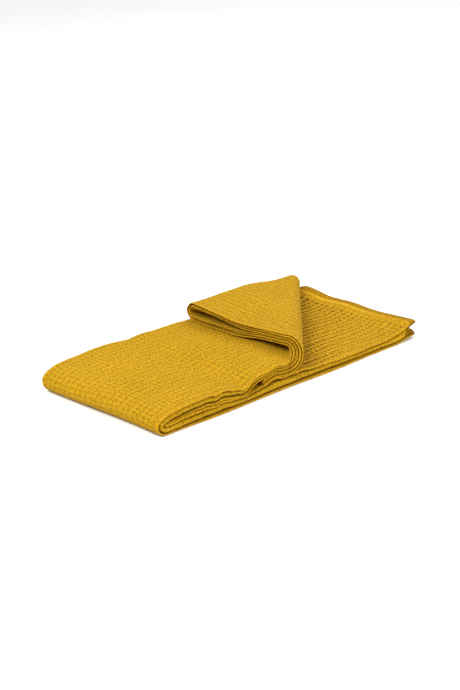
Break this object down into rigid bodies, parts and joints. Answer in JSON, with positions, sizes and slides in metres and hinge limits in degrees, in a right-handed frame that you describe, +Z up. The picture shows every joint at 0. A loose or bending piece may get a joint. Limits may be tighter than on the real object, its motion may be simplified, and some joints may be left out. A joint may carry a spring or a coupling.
{
  "type": "folded throw blanket",
  "caption": "Cotton waffle-weave throw blanket folded to a long flat pile, one end corner turned back over the top, hemmed edges stacked at the open end.",
  "frame": {"origin": "centre of the pile's outline on the surface it lies on", "axes": "+X along the folded strip from the left turn to the open hemmed end, +Y across it to the back, away from the front edge where the ply edges show, +Z up"},
  "size_m": [0.685, 0.342, 0.0887],
  "materials": {
    "waffle_weave": "matte honeycomb cotton weave",
    "hem_weave": "matte flat cotton weave",
    "hem_thread": "matte cotton thread"
  },
  "bodies": {
    "root": {"crease_over_a": "waffle_weave", "crease_over_b": "waffle_weave", "crease_over_c": "waffle_weave", "crease_over_d": "waffle_weave", "crease_under_a": "waffle_weave", "crease_under_b": "waffle_weave", "crease_under_c": "waffle_weave", "crease_under_d": "waffle_weave", "end_turn_a": "waffle_weave", "end_turn_b": "waffle_weave", "end_turn_c": "waffle_weave", "end_turn_d": "waffle_weave", "flap_over_a": "waffle_weave", "flap_over_b": "waffle_weave", "flap_over_c": "waffle_weave", "flap_over_d": "waffle_weave", "flap_under_a": "waffle_weave", "flap_under_b": "waffle_weave", "flap_under_c": "waffle_weave", "flap_under_d": "waffle_weave", "hem_stitching_a": "hem_thread", "hem_stitching_b": "hem_thread", "hem_stitching_c": "hem_thread", "hem_stitching_d": "hem_thread", "left_turn_a": "waffle_weave", "left_turn_b": "waffle_weave", "left_turn_c": "waffle_weave", "left_turn_d": "waffle_weave", "lower_end_hem_a": "hem_weave", "lower_end_hem_b": "hem_weave", "lower_end_hem_c": "hem_weave", "lower_end_hem_d": "hem_weave", "lower_ply_a": "waffle_weave", "lower_ply_b": "waffle_weave", "lower_ply_c": "waffle_weave", "lower_ply_d": "waffle_weave", "side_hem_a": "hem_weave", "side_hem_d": "hem_weave", "tucked_end_hem_a": "hem_weave", "tucked_end_hem_b": "hem_weave", "tucked_end_hem_c": "hem_weave", "tucked_end_hem_d": "hem_weave", "tucked_ply_a": "waffle_weave", "tucked_ply_b": "waffle_weave", "tucked_ply_c": "waffle_weave", "tucked_ply_d": "waffle_weave", "upper_ply_a": "waffle_weave", "upper_ply_b": "waffle_weave", "upper_ply_c": "waffle_weave", "upper_ply_d": "waffle_weave"}
  },
  "joints": []
}
